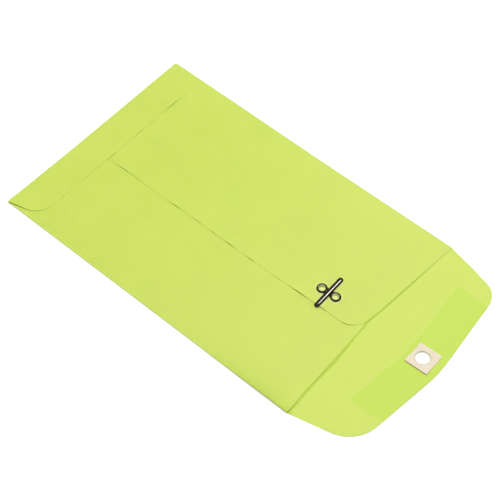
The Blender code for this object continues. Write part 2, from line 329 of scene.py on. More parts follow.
paperLook = {
    "pale": (0.587, 0.717, 0.128),
    "deep": (0.551, 0.686, 0.113),
    "mottle": (0.36, 0.64),  # noise that is all deep, and all pale
    "faded": (0.627, 0.758, 0.163),  # painted sheen, paler towards the mouth
    "fade": (-60 * mm, 120 * mm),
    "worn": (0.660, 0.760, 0.200),  # along pressed folds
    "wornShare": 0.25,
    "fresh": (0.452, 0.602, 0.068),  # painted shade, in the mouth under the panels' edges and by the right side fold
    "rubbed": (0.80, 0.93, 0.34),  # painted light, pale round the clasp and in the eyelets, against their shade
    "edge": (0.80, 0.97, 0.19),  # painted light on cut edges, pale where they would sit in shade
    "shade": (0.12, 0.155, 0.002),  # painted shade: under a lap, under the right side fold, along the other folds and the flap's cut edge
    "roughness": 0.80,
    "uneven": (0.06, 0.08),
    "specular": 0.22,
    "fibre": 520,  # noise per metre
    "cloud": 38,
    "cloudShare": 0.45,
    "rub": 900,
    "tooth": 2600,
    "relief": (0.22, 0.02 * mm),  # strength and depth
    "glow": 0.85,  # share of the light that goes into the sheet
    "glowDepth": 0.32 * mm,
    "glowTint": (1, 1, 0.6),
}
flapLook = {**paperLook, "faded": (0.611, 0.720, 0.160)}  # the flap's painted sheen is darker, as light shines through the single sheet


def paperColour(coords, look):
    # crossing fibres over soft clouds, with a painted sheen that pales the paper towards the mouth
    along = addNoise(coords, look["fibre"], 5, (0.35, 1.6, 1), 0.5)
    across = addNoise(coords, look["fibre"], 5, (1.6, 0.35, 1), 0.2)
    cloud = addMath("MULTIPLY", addNoise(coords, look["cloud"], 3), look["cloudShare"])
    fibres = addMath("MULTIPLY", addMath("ADD", along, across), 0.5)
    mottle = addMath("ADD", addMath("MULTIPLY", fibres, 1 - look["cloudShare"]), cloud)
    colour = addMix(addRange(mottle, *look["mottle"], 0, 1), look["deep"], look["pale"])
    length = addNode(coords, "SeparateXYZ", coords).outputs["Y"]
    fade = addRange(length, *look["fade"], 0, 1)
    return addMix(fade, colour, look["faded"]), fibres


def makePaper(name, look):
    material, shader = newMaterial(name)
    coords = objectCoords(shader)
    colour, fibres = paperColour(coords, look)
    rub = addRange(addNoise(coords, look["rub"], 3), 0.4, 0.7, 0, look["wornShare"])
    colour = addMix(addMath("MULTIPLY", attribute(shader, "wear"), rub), colour, look["worn"])
    for tone in ("fresh", "rubbed", "edge", "shade"):
        colour = addMix(attribute(shader, tone), colour, look[tone])
    tooth = addMath("ADD", addNoise(coords, look["tooth"], 4), fibres)
    dress(shader, look, colour, addRoughness(fibres, look), tooth)
    setInputs(shader, Subsurface_Weight=look["glow"], Subsurface_Scale=look["glowDepth"])
    setInputs(shader, Subsurface_Radius=look["glowTint"])
    return material


limePaper = makePaper("limePaper", paperLook)
flapPaper = makePaper("limePaperFlap", flapLook)

gumLook = {
    "film": (0.515, 0.684, 0.086),
    "thinnest": 0.82,  # share of the film's colour between its streaks
    "roughness": 0.52,
    "specular": 0.30,
    "relief": (0.15, 0.02 * mm),
    "streak": 60,
}


def makeFilm(look):
    # a brushed film whose edges melt into the paper
    material, shader = newMaterial("driedGum")
    coords = objectCoords(shader)
    paperTone, fibres = paperColour(coords, flapLook)
    streak = addNoise(coords, look["streak"], 4, (0.25, 2.2, 1))
    body = addRange(streak, 0.3, 0.7, look["thinnest"], 1)
    share = addMath("MULTIPLY", attribute(shader, "film"), body)
    colour = addMix(share, paperTone, look["film"])
    roughness = addRange(share, 0, 1, paperLook["roughness"], look["roughness"])
    dress(shader, look, colour, roughness, addMath("ADD", streak, fibres))
    return material


driedGum = makeFilm(gumLook)

cardLook = {
    "cream": (0.765, 0.705, 0.530),
    "blush": (0.755, 0.645, 0.525),
    "blotch": 420,  # noise per metre
    "fibre": 900,
    "flecks": 2300,
    "fleck": (0.56, 0.47, 0.34),
    "fleckShare": 0.35,
    "cut": (0.50, 0.48, 0.33),  # painted shade on the punched wall of the hole
    "roughness": 0.88,
    "specular": 0.2,
    "relief": (0.35, 0.03 * mm),
}


def makeCard(look):
    material, shader = newMaterial("creamCard")
    coords = objectCoords(shader)
    blotch = addRange(addNoise(coords, look["blotch"], 4), 0.38, 0.62, 0, 1)
    fibre = addNoise(coords, look["fibre"], 6, (0.3, 1.8, 1), 0.9)
    flecks = addRange(addNoise(coords, look["flecks"], 3), 0.66, 0.74, 0, look["fleckShare"])
    colour = addMix(flecks, addMix(blotch, look["cream"], look["blush"]), look["fleck"])
    colour = addMix(attribute(shader, "cut"), colour, look["cut"])
    dress(shader, look, colour, look["roughness"], fibre)
    return material


creamCard = makeCard(cardLook)

glueLook = {
    "clear": (0.80, 0.82, 0.62),
    "thick": (0.70, 0.74, 0.46),
    "pools": 240,
    "roughness": (0.38, 0.58),
    "specular": 0.5,
    "relief": (0.3, 0.02 * mm),
}


def makeGlue(look):
    material, shader = newMaterial("clearGlue")
    pool = addRange(addNoise(objectCoords(shader), look["pools"], 4), 0.4, 0.6, 0, 1)
    colour = addMix(pool, look["clear"], look["thick"])
    dress(shader, look, colour, addRange(pool, 0, 1, *look["roughness"]), pool)
    return material


clearGlue = makeGlue(glueLook)

metalLook = {
    "lacquer": (0.013, 0.010, 0.003),
    "thin": (0.040, 0.030, 0.012),  # where the lacquer is rubbed
    "thinShare": 0.7,
    "cloud": 700,
    "drawn": 1500,  # fine lines from the drawing
    "roughness": 0.09,
    "uneven": (0.03, 0.04),
    "specular": 0.30,
    "tint": (1.0, 0.95, 0.76),
    "relief": (0.06, 0.004 * mm),
}


def makeMetal(look):
    material, shader = newMaterial("blackLacquer")
    coords = objectCoords(shader)
    cloud = addNoise(coords, look["cloud"], 5)
    drawn = addNoise(coords, look["drawn"], 3, (0.12, 2.5, 2.5))
    rubbed = addRange(cloud, 0.52, 0.75, 0, look["thinShare"])
    colour = addMix(rubbed, look["lacquer"], look["thin"])
    dress(shader, look, colour, addRoughness(cloud, look), addMath("ADD", drawn, cloud))
    setInputs(shader, Specular_Tint=look["tint"])
    return material


blackLacquer = makeMetal(metalLook)

tinLook = {
    "bright": (0.92, 0.92, 0.80),
    "dull": (0.82, 0.82, 0.68),
    "drawn": 2600,
    "roughness": 0.30,
    "uneven": (0.06, 0.1),
    "specular": 0.5,
    "relief": (0.1, 0.01 * mm),
}


def makeTin(look):
    # bare plate, left bright inside the eyelets
    material, shader = newMaterial("bareTin")
    drawn = addNoise(objectCoords(shader), look["drawn"], 3, (1, 1, 0.2))
    colour = addMix(addRange(drawn, 0.35, 0.65, 0, 1), look["bright"], look["dull"])
    dress(shader, look, colour, addRoughness(drawn, look), drawn)
    setInputs(shader, Metallic=1)
    return material


bareTin = makeTin(tinLook)
print("materials: lime paper, dried gum, cream card, clear glue, black lacquer, bare tin")


# how the folded pocket stands: heights are from the front sheet's middle to a panel's middle

def scaled(rows):
    # rows that are written in millimetres
    return [tuple(v * mm for v in row) for row in rows]


def lifted(t, lifts):
    # each lift is a middle, a reach and a height
    return sum(height * hump((t - middle) / reach) for middle, reach, height in lifts)


def ramped(t, ramps):
    # each ramp is a start, a run and a height
    return sum(height * smooth((t - start) / run) for start, run, height in ramps)


pocketForm = {
    "bottomRise": 0.55 * mm,  # left panel at the bottom fold
    "claspRise": panelTop + 0.18 * mm - paper / 2 - sheetThick / 2,  # left panel under the clasp
    "mouthRise": 0.23 * mm,
    "bottomRun": 90 * mm,  # length over which the pocket swells
    "mouth": [(-30 * mm, 26 * mm, 1)],  # how it closes down again towards the mouth
    "lapGap": 0.01 * mm,  # air between papers that lie on each other
    "leftFold": 0.50 * mm,  # height of a side fold, and how it changes along the side
    "leftRamps": scaled([(60, 50, -0.20), (-78, -30, 0.25)]),
    "leftRun": 34 * mm,  # from a side fold to full height
    "rightFold": 0.46 * mm,
    "rightRamps": scaled([(45, 69, 0.45)]),
    "rightRun": 42 * mm,
    "rightMouth": 45 * mm,  # towards the mouth the right panel is steeper, and swells
    "rightMouthRun": 13 * mm,
    "rightSwell": scaled([(50, 40, 0.22)]),
    "waveRise": 0.06 * mm,
    "waveLength": (17 * mm, 23 * mm),
    "waveCalm": 26 * mm,  # round the clasp
    "waveEdge": 30 * mm,
    "strip": 1.6 * mm,  # how far a folded piece runs on under the pocket
    "stripGap": 0.02 * mm,
}
closure = Vector(joints["left_prong_bend"]["pos_m"]).lerp(Vector(joints["right_prong_bend"]["pos_m"]), 0.5)


def leftPlateau(y):
    form = pocketForm
    swell = easeOut((y - bottomY) / form["bottomRun"])
    body = form["bottomRise"] + (form["claspRise"] - form["bottomRise"]) * swell
    return body + (form["mouthRise"] - form["claspRise"]) * ramped(y - foldY, form["mouth"])


def leftFold(y):
    return pocketForm["leftFold"] + ramped(y, pocketForm["leftRamps"])


def rightFold(y):
    return pocketForm["rightFold"] + ramped(y, pocketForm["rightRamps"])


def wave(x, y):
    # slow unevenness, none of it under the clasp
    form = pocketForm
    calm = 1 - exp(-((x - closure.x) ** 2 + (y - closure.y) ** 2) / form["waveCalm"] ** 2)
    edge = easeOut(min(halfWidth - abs(x), y - bottomY) / form["waveEdge"])
    lengthX, lengthY = form["waveLength"]
    return form["waveRise"] * calm * edge * sin(x / lengthX + 1) * sin(y / lengthY + 0.6)


seamForm = {
    "lowX": 10.75 * mm,  # the seam edge, and where it has drifted to at the mouth
    "highX": 9.15 * mm,
    "driftStart": 20 * mm,
    "driftRun": 90 * mm,
    "sway": scaled([(-45, 16, 0.33)]),
    "cornerRadius": 12 * mm,
    "hiddenX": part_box("right_side_panel")[0].x,
    # where the edge stands off the panel below
    "lifts": scaled([
        (-76, 11, 0.38), (-62, 9, 0.13), (-33, 6, 0.48), (-15, 5, 0.34), (-1, 6, 0.26),
        (11.5, 5.5, 0.62), (28.5, 5, 0.44), (49, 5, 0.15), (66.5, 9.5, 0.66), (77, 4, 0.24),
        (84, 5, 0.50), (93, 7, 0.12), (102, 6, 0.48),
    ]),
    "liftReach": 5 * mm,
}


def seamX(y):
    form = seamForm
    drift = (form["lowX"] - form["highX"]) * smooth((y - form["driftStart"]) / form["driftRun"])
    return form["lowX"] - drift + lifted(y, form["sway"])


def leftHeight(x, y):
    fold = leftFold(y)
    run = x + halfWidth - paper / 2 - fold / 2
    height = fold + (leftPlateau(y) - fold) * easeOut(run / pocketForm["leftRun"]) + wave(x, y)
    inFromSeam = max(0.0, seamX(y) - x)
    return height + lifted(y, seamForm["lifts"]) * exp(-inFromSeam / seamForm["liftReach"])


def rightHeight(x, y):
    form = pocketForm
    fold = rightFold(y)
    run = halfWidth - paper / 2 - fold / 2 - x
    mouth = smooth((y - foldY) / form["rightMouth"] + 1)
    reach = form["rightRun"] + (form["rightMouthRun"] - form["rightRun"]) * mouth
    plateau = leftPlateau(y) - sheetThick - form["lapGap"] + mouth * lifted(x, form["rightSwell"])
    return fold + (plateau - fold) * easeOut(run / reach) + wave(x, y)


throatForm = {
    "left": 4.55 * mm,  # how deep each panel's edge dips at the mouth, in the pocket's middle
    "right": 4.7 * mm,
    "sag": scaled([(-13, 9, 0.5)]),  # of the left edge before its corner
    "hollow": scaled([(58, 15, 0.45)]),  # in the right edge
    "drop": scaled([(3, -8, 1.6)]),  # of the right panel's corner, under the left one
    "tongueX": -5 * mm,  # past the clasp the right panel reaches further under the left one
    "tongueY": 93 * mm,
    "tongueRun": 8 * mm,
}


def leftThroat(x):
    # the left panel's edge at the mouth, which rounds off into the seam
    form, radius = throatForm, seamForm["cornerRadius"]
    past = clamp(1 + (x - seamForm["highX"]) / radius)
    dip = form["left"] * (1 + x / halfWidth) + ramped(x, form["sag"])
    return foldY - dip - radius * (1 - sqrt(1 - past ** 2))


def rightThroat(x):
    form = throatForm
    return foldY - form["right"] * (1 - x / halfWidth) - ramped(x, form["drop"]) - lifted(x, form["hollow"])


foldSpan = 1 * mm  # width of a fold on the flat pattern
foldColumns = spread(-foldSpan, 0, 0.1 * mm)


def foldStart(strip, fold, along):
    # where the flat part of a panel starts, out from the pocket's middle
    return strip["edge"] - paper / 2 - fold / 2 - lifted(along, strip["bow"])


def foldedPlace(across, along, fold, strip, heightAt):
    # along the underside, round the fold, then back over the top, as the distance out and the height
    radius = fold / 2
    outer = foldStart(strip, fold, along)
    if across < -foldSpan:
        share = (across + foldSpan) / (strip["start"] + foldSpan)
        return outer + (strip["inner"] - outer) * share, sheetZ
    if across < 0:
        turn = (across / foldSpan + 1) * pi
        return outer + radius * sin(turn), sheetZ + radius * (1 - cos(turn))
    return outer - across, sheetZ + heightAt(outer - across, along)


rightStrip = {
    "edge": halfWidth + 0.1 * mm,
    "inner": halfWidth - pocketForm["strip"],
    "start": -foldSpan - 1 * mm,
    "bow": scaled([(0, 90, 0.05)]),  # the folded edge is a little hollow
}
leftStrip = {**rightStrip, "bow": scaled([(12, 95, 0.38), (114, 40, -0.15)])}
sideStartY = bottomY + pocketForm["strip"] + 0.05 * mm
sideEndY = foldY - 0.1 * mm
cornerForm = {
    "rightY": bottomY + 0.5 * mm,  # where a side fold ends, inside the bottom fold
    "leftY": bottomY + 1 * mm,
    "width": 4 * mm,
    "reach": 9 * mm,  # past the corner the rows lie further apart
    "step": 0.5 * mm,
}
cornerRows = [cornerForm["rightY"] + 0.6 * mm]
cornerRows += spread(sideStartY, sideStartY + cornerForm["reach"], cornerForm["step"])
panelColumns = [rightStrip["start"], *foldColumns]
panelColumns += [
    v * mm for v in (0.4, 1, 2, 3.5, 5.5, 8, 11, 14, 18, 22, 27, 32, 37, 42, 47, 52, 57, 62, 66)
]


def panelStart(across, cornerY):
    # past its strip a side fold runs on into the corner
    return cornerY if -foldSpan <= across < cornerForm["width"] else sideStartY


wearForm = {
    "reach": 1.6 * mm,  # of the wear beside a pressed fold
    "flapTop": 0.4 * mm,  # what lies higher isn't by the flap's fold
}


def nearFold(co):
    # 1 on a pressed fold, 0 past the wear's reach
    flapGap = abs(co.y - foldY) if co.z < wearForm["flapTop"] else 1
    return 1 - smooth(min(halfWidth - abs(co.x), co.y - bottomY, flapGap) / wearForm["reach"])


lapForm = {
    "rows": [offset * mm for offset in (-0.06, 0.02, 0.3)],  # where the tone changes at a lap's edge
    "step": 0.4 * mm,  # between the points that carry it
    "shade": [(-0.05 * mm, 0.06 * mm, 1)],
    "worn": 0.25 * mm,  # width of the painted light line along a cut edge
    "wornShare": 0.8,
    "wornOut": -5,  # the line stops this many points before the left panel's corner runs out
}


def underLap(points, loop):
    # painted shade: 1 on points that a loop covers, 0 on those beside it
    spots = flatOf(points)
    gaps = edgeDistance(spots, loop) * np.where(isInside(spots, loop), 1, -1)
    return [ramped(gap, lapForm["shade"]) for gap in gaps]


def lapRows(line):
    return besideLine(line, lapForm["rows"], lapForm["step"])


def edgeLightRows(line):
    return besideLine(line, [lapForm["worn"]], lapForm["step"])


def paintedEdgeLight(points, line):
    # painted light: the cut edge of a lap is painted pale against its shade
    gaps = edgeDistance(flatOf(points), line + line[::-1])
    return [lapForm["wornShare"] * clamp(1 - gap / lapForm["worn"]) for gap in gaps]


def leftEdge():
    # the left panel's free edge: up the seam and round its corner at the mouth
    radius = seamForm["cornerRadius"]
    start = seamForm["highX"] - radius
    corner = [start + radius * cos(a) for a in spread(0, pi / 2, pi / 36)]
    seam = [(seamX(y), y) for y in spread(sideStartY, leftThroat(seamForm["highX"]) - 1 * mm, 2 * mm)]
    return seam + [(x, leftThroat(x)) for x in corner]


sideForm = {
    "deep": 0.70,  # share of the painted shade by the right side fold
    "reach": 4.5 * mm,
    "grows": [(30 * mm, 70 * mm, 1)],  # towards the mouth
    "soiled": [(-1 * mm, 0.5 * mm, 0.55)],  # painted shade on the fold's underside
    "handled": [(0.5 * mm, -0.5 * mm, 0.60)],  # painted shade along the other folds
}


def sideShare(co):
    return ramped(co.y, sideForm["grows"])


def sideTone(co):
    # painted shade by the right side fold, stronger towards the mouth
    return sideForm["deep"] * sideShare(co) * exp(-max(0.0, halfWidth - co.x) / sideForm["reach"])


def foldUndersideShade(co):
    # painted shade on the lower half of the right side fold
    low = 1 - smooth((co.z - sheetZ) / rightFold(co.y) - 0.1)
    return sideShare(co) * low * ramped(co.x - halfWidth, sideForm["soiled"])


def foldEdgeShade(out, along, strip):
    # painted shade along a fold's outer edge
    return ramped(strip["edge"] - lifted(along, strip["bow"]) - out, sideForm["handled"])


def makeRightPanel(bottomEdge):
    form = throatForm
    rows = cornerRows + spread(cornerRows[-1], sideEndY, 3 * mm)[1:]
    columns = panelColumns + spread(68 * mm, 84 * mm, 1 * mm)

    def toX(across, y):
        return foldStart(rightStrip, rightFold(y), y) - across

    hidden = toX(0, sideStartY) - seamForm["hiddenX"]
    tongue = toX(0, sideStartY) - form["tongueX"]
    columns = [c for c in columns if c < tongue - 0.5 * mm]
    outline = [(c, panelStart(c, cornerForm["rightY"])) for c in columns if c < hidden - 1 * mm]
    outline += [(hidden, y) for y in rows[1:] if y < form["tongueY"]]
    outline += [(tongue, form["tongueY"] + form["tongueRun"]), (tongue, rightThroat(form["tongueX"]))]
    outline += [(c, min(sideEndY, rightThroat(toX(max(c, 0), sideEndY)))) for c in reversed(columns)]
    outline += [(columns[0], y) for y in reversed(rows[2:-1])]

    def place(across, y):
        out, z = foldedPlace(across, y, rightFold(y), rightStrip, rightHeight)
        return Vector((out, y, z))

    lapEdge = leftEdge()
    tones = lapRows(lapEdge) + lapRows(bottomEdge)
    tones = [(toX(x, y), y) for x, y in tones]  # the way back is the same sum
    cut = cutSheet(outline, [], columns, rows, 0.5 * mm, tones)
    piece = sheetPiece("rightPanel", cut, place, sheetThick, limePaper)
    points = pointsOf(piece)
    covered = lapEdge + [(-halfWidth, lapEdge[-1][1]), (-halfWidth, sideStartY)]
    shades = zip(underLap(points, covered), underLap(points, bottomEdge), map(foldUndersideShade, points))
    # painted shade under the laps and under the right side fold
    paint(piece, "shade", map(max, shades))
    # painted shade by the right side fold
    paint(piece, "fresh", map(sideTone, points))
    paint(piece, "wear", map(nearFold, points))
    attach(piece, "pocket")
    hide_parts("right_side_panel", "right_side_crease")


claspLightForm = {
    "reach": 0.8 * mm,
    "step": 0.5 * mm,  # of the points that carry the tone
    "margin": 2 * mm,
}


def paintedClaspLight(co):
    # painted light: the paper is painted pale along the clasp's outline, against the shade round it
    form = claspForm
    c, s = cos(claspTurn), sin(claspTurn)
    out = co.xy - closure.xy
    along, across = out.x * c + out.y * s, out.y * c - out.x * s
    half = form["prongWidth"] / 2
    past = max(0.0, abs(along) - form["prongLength"] + half)
    gaps = [hypot(past, across) - half, min(eyeletGaps(co.xy)) - form["eyeletOuter"] / 2]
    return exp(-(min(gaps) / claspLightForm["reach"]) ** 2)


def makeLeftPanel(bottomEdge):
    rows = cornerRows + spread(cornerRows[-1], sideEndY, 2 * mm)[1:]
    columns = panelColumns + [v * mm for v in (70, 73, 75.5, 77.5, 79.5, 81, 82.5, 83.7, 84.7, 85.5)]

    def toAcross(x, y):
        return x + foldStart(leftStrip, leftFold(y), y)

    def heightAt(reach, y):
        return leftHeight(-reach, y)

    def place(across, y):
        out, z = foldedPlace(across, y, leftFold(y), leftStrip, heightAt)
        return Vector((-out, y, z))

    edge = leftEdge()
    first, last = toAcross(*edge[0]), toAcross(*edge[-1])
    outline = [(c, panelStart(c, cornerForm["leftY"])) for c in columns if c < first - 0.4 * mm]
    outline += [(toAcross(x, y), y) for x, y in edge]
    for c in reversed([c for c in columns if c < last - 0.6 * mm]):
        x = max(c, 0) - toAcross(0, sideEndY)
        outline.append((c, min(sideEndY, leftThroat(x))))
    outline += [(columns[0], y) for y in reversed(rows[2:-1])]
    holes = [[(toAcross(x, y), y) for x, y in circle(*spot, pierced)] for spot in eyeletSpots]
    reachX, reachY = claspForm["prongLength"] + claspLightForm["margin"], claspForm["pitch"]
    tones = [
        (closure.x + x, closure.y + y)
        for x in spread(-reachX, reachX, claspLightForm["step"])
        for y in spread(-reachY, reachY, claspLightForm["step"])
    ]
    tones += lapRows(bottomEdge) + edgeLightRows(edge)
    cut = cutSheet(outline, holes, columns, rows, 0.4 * mm, [(toAcross(x, y), y) for x, y in tones])
    piece = sheetPiece("leftPanel", cut, place, sheetThick, limePaper)
    points = pointsOf(piece)
    edgeShades = [foldEdgeShade(-co.x, co.y, leftStrip) for co in points]
    # painted shade under the bottom flap and along the left fold
    paint(piece, "shade", map(max, underLap(points, bottomEdge), edgeShades))
    # painted light round the clasp
    paint(piece, "rubbed", map(paintedClaspLight, points))
    # painted light along the left panel's cut edge
    paint(piece, "edge", paintedEdgeLight(points, edge[:lapForm["wornOut"]]))
    paint(piece, "wear", map(nearFold, points))
    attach(piece, "pocket")
    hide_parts("left_side_panel", "left_side_crease")


flapForm = {
    "reach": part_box("seal_flap")[1].y - foldY - 0.55 * mm,  # to the rounded point
    "taper": radians(12.5),
    "slope": radians(6.25),
    "leftRadius": 15.5 * mm,  # of the corners
    "rightRadius": 22.5 * mm,
    "pointRadius": 94 * mm,
    "holeRadius": 4.42 * mm,
    "curl": scaled([(6, 40, 0.22)]),  # how the free edge comes off the table
    "curlWave": 14 * mm,
    "bend": 1.1 * mm,  # half the width of the paper that rolls when the flap shuts
    "turn": 0.012,  # how the flap was cut askew
    "shift": (-0.3 * mm, 0.4 * mm),
    "shiftRun": 25 * mm,
    "lean": 0.010,  # more of the turn, on the right side
    "leanRun": 60 * mm,
    "hollow": scaled([(143, 11, 0.5)]),  # in the left side
    "leftOut": 0.15 * mm,  # how far its left end at the fold stands out
    "rim": 0.05,  # share of painted shade along its cut edge
    "rimWidth": 0.3 * mm,
}
roundedOff = flapForm["pointRadius"] * (1 / cos(flapForm["slope"]) - 1)
flapForm["point"] = foldY + flapForm["reach"] + roundedOff  # where the two edges would meet
holeLow, holeHigh = (Vector(corner) for corner in frame["record"]["physics"]["openings"][0]["box_m"])
holeSpot = ((holeLow + holeHigh) / 2).xy


def flapEdgeY(x):
    # two straight edges that meet in the rounded point
    radius, slope = flapForm["pointRadius"], flapForm["slope"]
    if abs(x) < radius * sin(slope):
        return flapForm["point"] - radius / cos(slope) + sqrt(radius ** 2 - x ** 2)
    return flapForm["point"] - abs(x) * tan(slope)


def skewed(x, y):
    form, out = flapForm, y - foldY
    share = smooth(out / form["shiftRun"])
    lean = form["turn"] + form["lean"] * smooth(x / form["leanRun"])
    hollow = lifted(y, form["hollow"]) * smooth(-x / form["leanRun"])
    shiftX, shiftY = form["shift"]
    return x - lean * max(0.0, out) + hollow + share * shiftX, y + share * (shiftY + form["turn"] * x)


def flapHeight(x, y):
    return ramped(y - foldY, flapForm["curl"]) * (0.75 + 0.25 * sin(x / flapForm["curlWave"] + 0.8))


printForm = {
    "swell": scaled([(0, 15, 0.88)]),  # of the front sheet under the clasp, which is pressed hard
    "dome": scaled([(0, 2.1, 0.75)]),  # and up into its eyelets
    "rub": [(2.5 * mm, -0.4 * mm, 1)],  # painted light: what shows through an eyelet is painted pale against the eyelet's shade
}


def eyeletGaps(spot):
    return [(spot - Vector(eyelet)).length for eyelet in eyeletSpots]


def claspPrint(x, y):
    spot = Vector((x, y))
    domes = sum(lifted(gap, printForm["dome"]) for gap in eyeletGaps(spot))
    return lifted((spot - closure.xy).length, printForm["swell"]) + domes


mouthForm = {
    "shown": 0.95 * mm,  # how far the painted shadow reaches past the panels' edges
    "more": scaled([(0, 8, 0.3), (32, 26, 1.1), (60, 18, 0.85)]),
    "leftStart": 12 * mm,  # where it starts, in from the left side
    "leftRun": 24 * mm,
    "paler": [(36 * mm, 16 * mm, -0.25)],  # the painted shadow is lighter towards the right side
    "depth": 14 * mm,
    "soft": 0.4 * mm,
}


def onInnerFace(co):
    return co.z > sheetZ + flapHeight(co.x, co.y) + claspPrint(co.x, co.y)


def mouthTone(co):
    # painted shadow: 1 on the inner face inside the mouth's edge line, 0 past it
    if not onInnerFace(co):
        return 0.0
    form = mouthForm
    shown = form["shown"] + lifted(co.x, form["more"])
    shown *= clamp((co.x + halfWidth - form["leftStart"]) / form["leftRun"])
    past = co.y - max(leftThroat(co.x), rightThroat(co.x)) - shown
    share = 1 + ramped(co.x, form["paler"])
    return share * clamp(0.5 - past / form["soft"]) * clamp(2 + 2 * past / form["depth"])


def paintedEyeletLight(co):
    return ramped(min(eyeletGaps(co.xy)), printForm["rub"]) if onInnerFace(co) else 0.0


def makeFrontSheet():
    # the front panel and the seal flap are one sheet, meshed finely where it would roll at the fold
    form = flapForm
    side = rightStrip["inner"] - pocketForm["stripGap"]
    start = bottomY + pocketForm["strip"] + pocketForm["stripGap"]
    run = tan(form["taper"])
    reach = form["point"] - foldY
    cornerX = (halfWidth - run * reach) / (1 - run * tan(form["slope"]))
    cornerY = flapEdgeY(cornerX)
    corners = [
        (-side, start, 0), (side, start, 0), (side, foldY, 0), (halfWidth, foldY, 0),
        (cornerX, cornerY, form["rightRadius"]),
        (0, form["point"], form["pointRadius"]),
        (-cornerX, cornerY, form["leftRadius"]),
        (-halfWidth - form["leftOut"], foldY, 0), (-side, foldY, 0),
    ]
    outline = [skewed(x, y) for x, y in walked(roundedOutline(corners), 2.5 * mm)]
    bend = form["bend"] + 0.3 * mm
    mouth = foldY - mouthForm["depth"] - 2 * mm
    rows = spread(start, mouth, 4 * mm) + spread(mouth, foldY - bend, 0.4 * mm)[1:]
    rows += spread(foldY - bend, foldY + bend, 0.2 * mm)[1:]
    rows += spread(foldY + bend, foldY + form["reach"], 2.5 * mm)[1:]
    columns = spread(-halfWidth, halfWidth, 3 * mm) + spread(-8.5 * mm, 8.5 * mm, 1 * mm)
    hole = circle(*holeSpot, form["holeRadius"])
    rings = [r * mm for r in (0.5, 1.0, 1.5, 2.0, 2.6)]  # round each eyelet, for its dome
    prints = [p for spot in eyeletSpots for ring in rings for p in circle(*spot, ring, 20)]
    cut = cutSheet(outline, [hole], columns, rows, 0.7 * mm, prints)

    def place(x, y):
        return Vector((x, y, sheetZ + flapHeight(x, y) + claspPrint(x, y)))

    piece = sheetPiece("frontSheet", cut, place, paper, flapPaper)
    points = pointsOf(piece)
    # painted shade along the flap's cut edge
    gaps = edgeDistance(flatOf(points), outline)
    rims = [form["rim"] * clamp(1 - gap / form["rimWidth"]) for gap in gaps]
    paint(piece, "shade", [rim if co.y > foldY else 0.0 for rim, co in zip(rims, points)])
    # painted shadow inside the mouth, under the panels' edges
    paint(piece, "fresh", map(mouthTone, points))
    # painted light inside the eyelets
    paint(piece, "rubbed", map(paintedEyeletLight, points))
    paint(piece, "wear", map(nearFold, points))
    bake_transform(piece)
    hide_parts("front_panel", "seal_flap")


bottomForm = {
    "depth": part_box("bottom_flap")[1].y - bottomY,
    "taper": radians(14),
    "radius": 14 * mm,
    "lifts": scaled([
        (-48.5, 8.5, 0.42), (-17, 8, 0.23), (8, 6.5, 0.28), (30, 7, 0.15), (51, 6, 0.06), (63, 5, 0.08),
    ]),
    "liftReach": 5 * mm,
    "corner": scaled([(56, 20, 0.55)]),  # how the fold's end lifts by the right side
    "cornerDepth": 24 * mm,
    "settle": 60 * mm,  # past this the flap runs straight on over the side folds
    "step": [(-1.5 * mm, 7 * mm, 1)],  # how the flap eases over the seam
    "foldAt": bottomY + 1 * mm,  # where the fold takes its height from the flap
}


def underBottom(x, y):
    form = bottomForm
    x = max(-form["settle"], min(form["settle"], x))
    step = ramped(x - seamX(y), form["step"])
    left = leftHeight(min(x, seamX(y)), y)
    right = rightHeight(max(x, seamX(y)), y)
    return left * (1 - step) + right * step


def bottomHeight(x, y):
    form = bottomForm
    height = underBottom(x, y) + sheetThick + pocketForm["lapGap"]
    inFromEdge = bottomY + form["depth"] - y
    height += lifted(x, form["lifts"]) * exp(-max(0.0, inFromEdge) / form["liftReach"])
    return height + ramped(x, form["corner"]) * (1 - smooth((y - bottomY) / form["cornerDepth"]))


